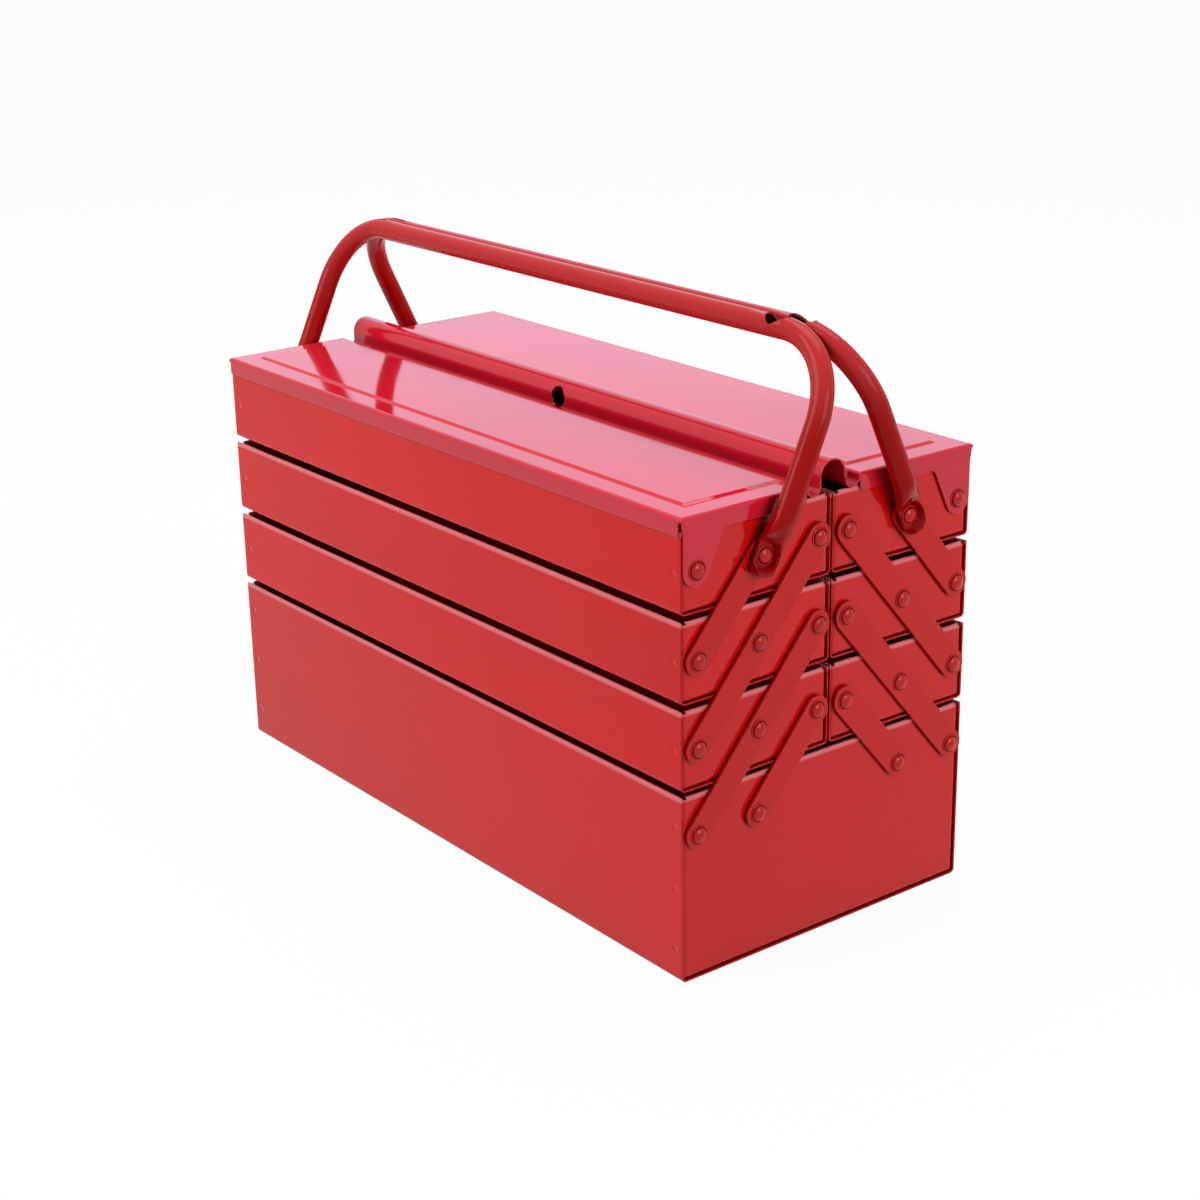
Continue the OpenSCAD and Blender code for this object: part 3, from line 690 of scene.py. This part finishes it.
class TubeHandle:
    """A handle of one bent tube with pressed grip and tips, as rings of points along its run."""

    def __init__(self, side, sizes):
        self.sizes = sizes
        self.facets = sizes.facets
        self.foot = pivot(side, 1, 3)
        self.inward = 1 if side == "front" else -1
        self.radius = sizes.tube / 2
        self.parting = -self.inward * sizes.grip_gap / 2
        grip_y = self.parting - self.inward * (self.radius - sizes.grip_flat)
        rise = Vector((0, grip_y - self.foot.y, sizes.grip_rise))
        self.reach = rise.length
        self.up = rise.normalized()
        self.across = Vector((0, self.up.z, -self.up.y))
        self.upright = math.atan2(self.up.y, self.up.z)
        self.tube_x = TUBE_FAR - self.radius
        self.grip_end = self.tube_x - sizes.bend
        self.leg_top = self.reach - sizes.bend
        near, far = self.grip_end - sizes.seam_back, self.grip_end + sizes.seam_on
        self.seam_middle = {self.inward: near, -self.inward: far}
        self.tip_back = LINK_FAR + sizes.tip_gap
        self.tip_face = self.tip_back + sizes.tip_thick
        self.leg_start = sizes.tip_flat + sizes.taper

    def stations(self, end):
        """Places along half of the run, from the middle of the grip to the tip's end."""
        sizes = self.sizes
        seam_from = self.seam_middle[end] - sizes.seam_length / 2
        marks = [("grip", seam_from * i / GRIP_RINGS) for i in range(GRIP_RINGS)]
        stops = [
            seam_from + sizes.seam_length * (1 - math.cos(i / SEAM_RINGS * math.pi)) / 2
            for i in range(SEAM_RINGS + 1)]
        run = stops[-1] + BEND_STEP
        while run < self.grip_end + sizes.bend * math.pi / 2 - 1 * MM:
            stops.append(run)
            run += BEND_STEP
        for stop in stops:
            if stop <= self.grip_end:
                marks.append(("grip", stop))
            else:
                marks.append(("bend", (stop - self.grip_end) / sizes.bend))
        low = self.leg_start + TIP_START
        foot = TIP_CORNER - sizes.tip_length
        marks += [
            ("leg", mixed(self.leg_top, low + 1 * MM, i / LEG_RINGS))
            for i in range(LEG_RINGS + 1)]
        marks += [("leg", mixed(low, foot, i / TIP_RINGS)) for i in range(TIP_RINGS + 1)]
        marks += [
            ("leg", foot - TIP_CORNER * math.sin(i / CORNER_RINGS * math.pi / 2))
            for i in range(1, CORNER_RINGS + 1)]
        return marks

    def centre(self, kind, value):
        """Middle and outward axis of the tube at a station, and the run from the grip's middle."""
        if kind == "grip":
            return Vector((value, 0, self.reach)), Vector((0, 0, 1)), value
        if kind == "leg":
            return Vector((self.tube_x, 0, value)), Vector((1, 0, 0)), math.inf
        outward = Vector((math.sin(value), 0, math.cos(value)))
        middle = Vector((self.grip_end, 0, self.leg_top)) + outward * self.sizes.bend
        return middle, outward, self.grip_end + value * self.sizes.bend

    def half_gap(self, run, end):
        """Half of the angle of the open seam, round toward the grip and drawn out beyond."""
        part = 0.5 + (run - self.seam_middle[end]) / self.sizes.seam_length
        if not 0.0 < part < 1.0:
            return 0.0
        width = self.sizes.seam_width if end > 0 else self.sizes.seam_closed
        half = math.sin(math.pi * part ** SEAM_SKEW) ** SEAM_BLUNT * width / 2
        return math.asin(min(SEAM_LIMIT, half / self.radius))

    def ring(self, kind, value, end):
        """Outline of the tube at a station; end is 1 at the right and -1 at the left."""
        middle, outward, run = self.centre(kind, value)
        gap = self.half_gap(run, end)
        points = []
        for i in range(self.facets + 1):
            turn = mixed(gap, math.tau - gap, i / self.facets)
            angle = turn - self.upright
            lip = 1 - eased((min(turn, math.tau - turn) - gap) / LIP_ANGLE)
            radius = self.radius + self.sizes.seam_lip * lip * math.sin(gap)
            out, side = math.cos(angle) * radius, math.sin(angle) * radius
            if kind == "leg" and value < self.leg_start + TIP_START:
                out, side = self.pressed(value, angle, end)
            points.append((out, side))
        return self.placed(middle, outward, points, end)

    def pressed(self, value, angle, end):
        """Outline of the pressed tip: out from the tube's middle, and across."""
        sizes = self.sizes
        whole = eased((value - sizes.tip_flat) / sizes.taper)
        sine, cosine = math.sin(angle) * end, math.cos(angle)
        half = mixed(
            sizes.tip_width / 2 * (1.0 if sine > 0 else TIP_NARROW), self.radius, whole)
        near = mixed(self.tip_back, self.tube_x - self.radius, whole)
        high = mixed(self.tip_back + sizes.lobe, self.tube_x + self.radius, whole)
        high -= END_SLOPE * max(0.0, END_STRETCH - (value + sizes.tip_length))
        side = math.copysign(abs(sine) ** mixed(TIP_SQUARE, 1.0, whole), sine) * half
        bulge = math.copysign(abs(cosine) ** mixed(TIP_CROWN, 1.0, whole), cosine)
        out = (near + high) / 2 + bulge * (high - near) / 2
        if bulge > 0:
            out = min(out, max(self.tip_back + TIP_LEAST, self.hollow(value, side)))
        below = -sizes.tip_length + TIP_CORNER - value
        if below > 0:
            chord = math.sqrt(max(0.0, TIP_CORNER * TIP_CORNER - below * below))
            trim = TIP_CORNER - chord
            side *= (half - trim) / half
        return out - self.tube_x, side * end

    def hollow(self, value, side):
        """Face of the trough round the rivet and up the leg, open toward one side."""
        foot, top = TROUGH_MARGIN, self.leg_start - TROUGH_MARGIN
        rim = self.sizes.dish / 2 - TROUGH_RIM
        if value < 0:
            over = math.hypot(value, side) - (rim if side > 0 else TROUGH_OPEN)
        else:
            part = min(1.0, max(0.0, (value - TROUGH_LEAN) / (top - TROUGH_LEAN)))
            over = side - mixed(rim, TROUGH_TOP, part)
        climb = (self.tube_x + self.radius - self.tip_face) / (top - foot)
        return self.tip_face + max(0.0, value - foot) * climb + max(0.0, over) * TROUGH_WALL

    def placed(self, middle, outward, points, end, inset=0.0):
        """Points of an outline in the box's frame, pressed flat at the parting plane."""
        result = []
        for out, side in points:
            local = middle + outward * out
            spot = self.foot + Vector((local.x * end, 0, 0))
            spot = spot + self.up * local.z + self.across * side
            depth = (self.parting - spot.y) * self.inward - inset
            depth = (depth + math.hypot(depth, PRESS_SOFT)) / 2
            spot.y = self.parting - (depth + inset) * self.inward
            result.append(spot)
        return result

    def mesh(self, name):
        """The whole handle, from the right tip over the grip to the left tip."""
        work = bmesh.new()
        bore = work.verts.layers.float.new(BORE)
        run = [(kind, value, 1) for kind, value in reversed(self.stations(1))]
        run += [(kind, value, -1) for kind, value in self.stations(-1)[1:]]
        rings = [[work.verts.new(spot) for spot in self.ring(*station)] for station in run]
        for first, second in zip(rings, rings[1:]):
            for i in range(self.facets):
                work.faces.new((first[i], first[i + 1], second[i + 1], second[i]))
        for cap in (rings[0], rings[-1]):
            work.faces.new(cap[:-1])
        for end in (1, -1):
            self.pocket(work, rings, run, end, bore)
        return cleaned(work, name)

    def pocket(self, work, rings, run, end, bore):
        """The tube's inside, seen through the open seam at one end."""
        chosen = []
        radius = self.radius - self.sizes.wall
        span = self.sizes.seam_length / 2 + 0.01 * MM
        for ring, (kind, value, way) in zip(rings, run):
            middle, outward, place = self.centre(kind, value)
            if way != end or abs(place - self.seam_middle[end]) > span:
                continue
            gap = self.half_gap(place, end)
            points = []
            for i in range(self.facets + 1):
                angle = mixed(gap, math.tau - gap, i / self.facets) - self.upright
                points.append((math.cos(angle) * radius, math.sin(angle) * radius))
            inner = self.placed(middle, outward, points, end, self.sizes.wall)
            chosen.append((ring, [work.verts.new(spot) for spot in inner]))
            for vertex in chosen[-1][1]:
                vertex[bore] = 1.0
        for (outer_a, inner_a), (outer_b, inner_b) in zip(chosen, chosen[1:]):
            for i in range(self.facets):
                work.faces.new((inner_a[i], inner_b[i], inner_b[i + 1], inner_a[i + 1]))
            for i in (0, self.facets):
                work.faces.new((outer_a[i], outer_b[i], inner_b[i], inner_a[i]))
        for _, ring in (chosen[0], chosen[-1]):
            work.faces.new(ring[:-1])


# ---- Operators ---------------------------------------------------------------------


def give_finish(node, material):
    """Gives a model node its finish."""
    slots = frame["nodes"][node].data.materials
    if slots:
        slots[0] = material
    else:
        slots.append(material)


class TOOLBOX_OT_sheet(bpy.types.Operator):
    """Enamel the base, the trays and the lids"""

    bl_idname = "toolbox.sheet"
    bl_label = "Enamel the Sheet Metal"

    def execute(self, context):
        enamels = context.scene.toolbox_enamel
        self.base(enamels)
        self.trays(enamels)
        self.lids(enamels)
        return {"FINISHED"}

    def base(self, enamels):
        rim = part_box("base_pan")[1].z
        welds = weld_dimples(BASE_WELD_HEIGHT, BASE_WELD_SPACING)
        give_finish("base_pan", enamel(
            "base enamel", enamels.body, enamels, wave=1.0, shift=0.0, mirror=0.22,
            grain=(0.6, 1, 1), dimples=welds, rim=rim))
        end_enamel = enamel(
            "base end enamel", enamels.body, enamels, wave=0.8, shift=2.0, mirror=0.26, rim=rim)
        for end in ENDS:
            give_finish("base_end_" + end, end_enamel)

    def trays(self, enamels):
        rise = JOINTS["front_lower_tray_pivot"].z
        step = JOINTS["front_middle_tray_pivot"].z - rise
        welds = weld_dimples(rise - TRAY_WELD_DROP, step / 2)
        for number, level in enumerate(LEVELS):
            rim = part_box(f"front_{level}_pan")[1].z
            wall = enamel(
                level + " tray enamel", enamels.body, enamels, wave=0.9, shift=1.0 + number,
                grain=(0.5, 1, 1), dimples=welds, rim=rim)
            end_wall = enamel(
                level + " tray end enamel", enamels.body, enamels, wave=0.6,
                shift=5.0 + number, mirror=0.26, rim=rim)
            for side in SIDES:
                give_finish(f"{side}_{level}_pan", wall)
                for end in ENDS:
                    give_finish(f"{side}_{level}_end_{end}", end_wall)

    def lids(self, enamels):
        for number, side in enumerate(SIDES):
            give_finish(side + "_lid", enamel(
                side + " lid enamel", enamels.lid, enamels, wave=1.1, shift=9.0 + number,
                mirror=0.36, grain=(0.6, 1.2, 1), softness=0.6, reach=14.0 * MM))


class TOOLBOX_OT_links(bpy.types.Operator):
    """Enamel the link bars"""

    bl_idname = "toolbox.links"
    bl_label = "Enamel the Link Bars"

    def execute(self, context):
        enamels = context.scene.toolbox_enamel
        for number, kind in enumerate(LINKS):
            finish = enamel(
                kind + " link enamel", enamels.link, enamels, wave=0.4, shift=13.0 + number,
                mirror=0.24, softness=0.35)
            for side in SIDES:
                for end in ENDS:
                    give_finish(f"{side}_{kind}_link_{end}", finish)
        return {"FINISHED"}


class TOOLBOX_OT_rivets(bpy.types.Operator):
    """Set the domed pivot rivets in the base and the trays"""

    bl_idname = "toolbox.rivets"
    bl_label = "Set the Rivets"

    def execute(self, context):
        enamels = context.scene.toolbox_enamel
        sizes = context.scene.toolbox_rivets
        handle = context.scene.toolbox_handle
        tree = rivet_tree()
        # Rivets take painted shade in the crease round each dome
        finish = enamel(
            "rivet enamel", enamels.rivet, enamels, wave=0.0, shift=21.0, mirror=0.25,
            softness=0.3, reach=3.0 * MM, open_from=0.97)
        link = (LINK_NEAR, LINK_FAR)
        tip = (LINK_NEAR, LINK_FAR + handle.tip_gap + handle.tip_thick)
        ear = (LID_FAR - EAR_THICK, LID_FAR)
        base = [pivot(side, column, 0) for side in SIDES for column in (0, 1)]
        mesh = joined([rivet_mesh(tree, base, *link, sizes)], "base_rivet_heads")
        add_piece("base_rivet_heads", mesh, finish, "base", ["base_rivets"])
        for side in SIDES:
            for number, level in enumerate(LEVELS, 1):
                held = [link, link, link] if level != "top" else [ear, tip, link]
                name = f"{side}_{level}_rivet_heads"
                mesh = joined(
                    [rivet_mesh(tree, [pivot(side, column, number)], *held[column], sizes)
                     for column in range(3)], name)
                add_piece(name, mesh, finish, f"{side}_{level}_tray",
                          [f"{side}_{level}_rivets"])
        return {"FINISHED"}


class TOOLBOX_OT_handles(bpy.types.Operator):
    """Bend the two tubular handles and press their tips"""

    bl_idname = "toolbox.handles"
    bl_label = "Bend the Handles"

    def execute(self, context):
        enamels = context.scene.toolbox_enamel
        finish = enamel(
            "handle enamel", enamels.handle, enamels, wave=0.0, shift=25.0, mirror=0.09,
            softness=0.4, layers=tube_layers(enamels))
        for side in SIDES:
            name = side + "_tube_handle"
            mesh = TubeHandle(side, context.scene.toolbox_handle).mesh(name)
            add_piece(name, mesh, finish, side + "_handle_body",
                      [side + "_handle"])
        return {"FINISHED"}


# ---- Stage -------------------------------------------------------------------------


WHITE = (1.0, 1.0, 1.0)
COOL = (0.45, 0.47, 1.0)

# Each lamp's setting, place, target, width, height and tint
LAMPS = (
    ("key", (-0.75, -1.9, 1.7), (0, 0, 0.15), 1.6, 1.6, WHITE),
    ("top", (-0.3, 0.5, 2.1), (0, 0, 0.2), 1.6, 1.2, WHITE),
    ("end", (2.1, 0.3, 1.0), (0.2, 0, 0.15), 1.2, 1.2, WHITE),
    ("rear", (-2.3, 1.8, 1.35), (0, 0, 0.24), 2.0, 1.2, COOL))

# Camera: place and axes in the box's frame, sensor width and focal length in millimetres
CAMERA_PLACE = (1.0007, -0.7535, 0.5751)
CAMERA_RIGHT = Vector((0.61526, 0.78815, -0.01677))
CAMERA_DOWN = Vector((0.25635, -0.22015, -0.94118))
CAMERA_FORWARD = Vector((-0.74548, 0.57477, -0.33749))
CAMERA_SENSOR = 36.0
CAMERA_LENS = 67.97
CAMERA_NEAR = 0.01

# Floor: half of its side, its tone for light that is scattered, and how much of it glows white
FLOOR_HALF = 6.0
FLOOR_DIM = 0.55
FLOOR_GLOW = 0.95


def add_lamp(name, place, target, width, height, watts, tint):
    """Adds a rectangular lamp at a place, turned toward a target."""
    lamp = bpy.data.lights.new(name, "AREA")
    lamp.shape = "RECTANGLE"
    lamp.size = width
    lamp.size_y = height
    lamp.energy = watts
    lamp.color = tint
    way = Vector(target) - Vector(place)
    turn = way.to_track_quat("-Z", "Y").to_matrix().to_4x4()
    add_object(name, lamp).matrix_world = Matrix.Translation(place) @ turn


def seen_directly(graph):
    """1 for what the camera sees directly, in a reflection or through glass."""
    path = graph.node("ShaderNodeLightPath")
    seen = graph.wire(path, "Is Camera Ray") + graph.wire(path, "Is Glossy Ray")
    return graph.maths("MINIMUM", seen + graph.wire(path, "Is Transmission Ray"), 1.0)


class TOOLBOX_OT_stage(bpy.types.Operator):
    """Set up the camera, the lamps, the floor and the surroundings"""

    bl_idname = "toolbox.stage"
    bl_label = "Set Up the Stage"

    def execute(self, context):
        settings = context.scene.toolbox_stage
        self.camera(context)
        for name, place, target, width, height, tint in LAMPS:
            add_lamp(
                name + " lamp", place, target, width, height, getattr(settings, name), tint)
        self.surroundings(context, settings)
        self.floor(settings)
        context.scene.view_settings.view_transform = "Standard"
        return {"FINISHED"}

    def camera(self, context):
        data = bpy.data.cameras.new("camera")
        data.sensor_fit = "HORIZONTAL"
        data.sensor_width = CAMERA_SENSOR
        data.lens = CAMERA_LENS
        data.clip_start = CAMERA_NEAR
        camera = add_object("camera", data)
        turn = Matrix((CAMERA_RIGHT, -CAMERA_DOWN, -CAMERA_FORWARD)).transposed()
        camera.matrix_world = Matrix.Translation(CAMERA_PLACE) @ turn.to_4x4()
        context.scene.camera = camera

    def surroundings(self, context, settings):
        """Even light from all around, seen as plain white."""
        world = bpy.data.worlds.new("surroundings")
        world.use_nodes = True
        graph = Graph(world.node_tree)
        graph.tree.nodes.clear()
        level = settings.around + (1.0 - settings.around) * seen_directly(graph)
        light = graph.node(
            "ShaderNodeBackground", None, {"Color": rgba(WHITE), "Strength": level})
        graph.node("ShaderNodeOutputWorld", None, {"Surface": graph.wire(light)})
        context.scene.world = world

    def floor(self, settings):
        """A floor that is seen as plain white but takes a faint shadow."""
        material = bpy.data.materials.new("floor paint")
        material.use_nodes = True
        graph = Graph(material.node_tree)
        graph.tree.nodes.clear()
        tone = graph.tint(
            seen_directly(graph), rgba(shaded(settings.floor, FLOOR_DIM)), rgba(settings.floor))
        matt = graph.node("ShaderNodeBsdfDiffuse", None, {"Color": tone})
        bright = graph.node("ShaderNodeEmission", None, {"Color": rgba(WHITE), "Strength": 1.0})
        shown = graph.node(
            "ShaderNodeMixShader", None,
            {0: seen_directly(graph) * FLOOR_GLOW, 1: graph.wire(matt), 2: graph.wire(bright)})
        graph.node("ShaderNodeOutputMaterial", None, {"Surface": graph.wire(shown)})
        corners = [
            (FLOOR_HALF * x, FLOOR_HALF * y, 0) for x, y in ((-1, -1), (1, -1), (1, 1), (-1, 1))]
        mesh = bpy.data.meshes.new("floor")
        mesh.from_pydata(corners, [], [(0, 1, 2, 3)])
        mesh.materials.append(material)
        floor = add_object("floor", mesh)


# ---- Add-on ------------------------------------------------------------------------


OPERATORS = (
    TOOLBOX_OT_sheet, TOOLBOX_OT_links, TOOLBOX_OT_rivets, TOOLBOX_OT_handles, TOOLBOX_OT_stage)
GROUPS = {
    "toolbox_enamel": ToolBoxEnamel, "toolbox_rivets": ToolBoxRivets,
    "toolbox_handle": ToolBoxHandle, "toolbox_stage": ToolBoxStage}


class TOOLBOX_PT_panel(bpy.types.Panel):
    """Sizes, colours and steps of the tool box"""

    bl_label = "Cantilever Tool Box"
    bl_idname = "TOOLBOX_PT_panel"
    bl_space_type = "VIEW_3D"
    bl_region_type = "UI"
    bl_category = "Tool Box"

    def draw(self, context):
        for name, group in GROUPS.items():
            box = self.layout.box()
            box.label(text=group.__doc__)
            for setting in group.__annotations__:
                box.prop(getattr(context.scene, name), setting)
        for operator in OPERATORS:
            self.layout.operator(operator.bl_idname)


def register():
    for kind in (*GROUPS.values(), *OPERATORS, TOOLBOX_PT_panel):
        bpy.utils.register_class(kind)
    for name, group in GROUPS.items():
        setattr(bpy.types.Scene, name, bpy.props.PointerProperty(type=group))


def unregister():
    for name in GROUPS:
        delattr(bpy.types.Scene, name)
    for kind in (TOOLBOX_PT_panel, *reversed(OPERATORS), *reversed(tuple(GROUPS.values()))):
        bpy.utils.unregister_class(kind)


def main():
    register()
    bpy.ops.toolbox.sheet()
    bpy.ops.toolbox.links()
    bpy.ops.toolbox.rivets()
    bpy.ops.toolbox.handles()
    bpy.ops.toolbox.stage()


if __name__ == "__main__":
    main()
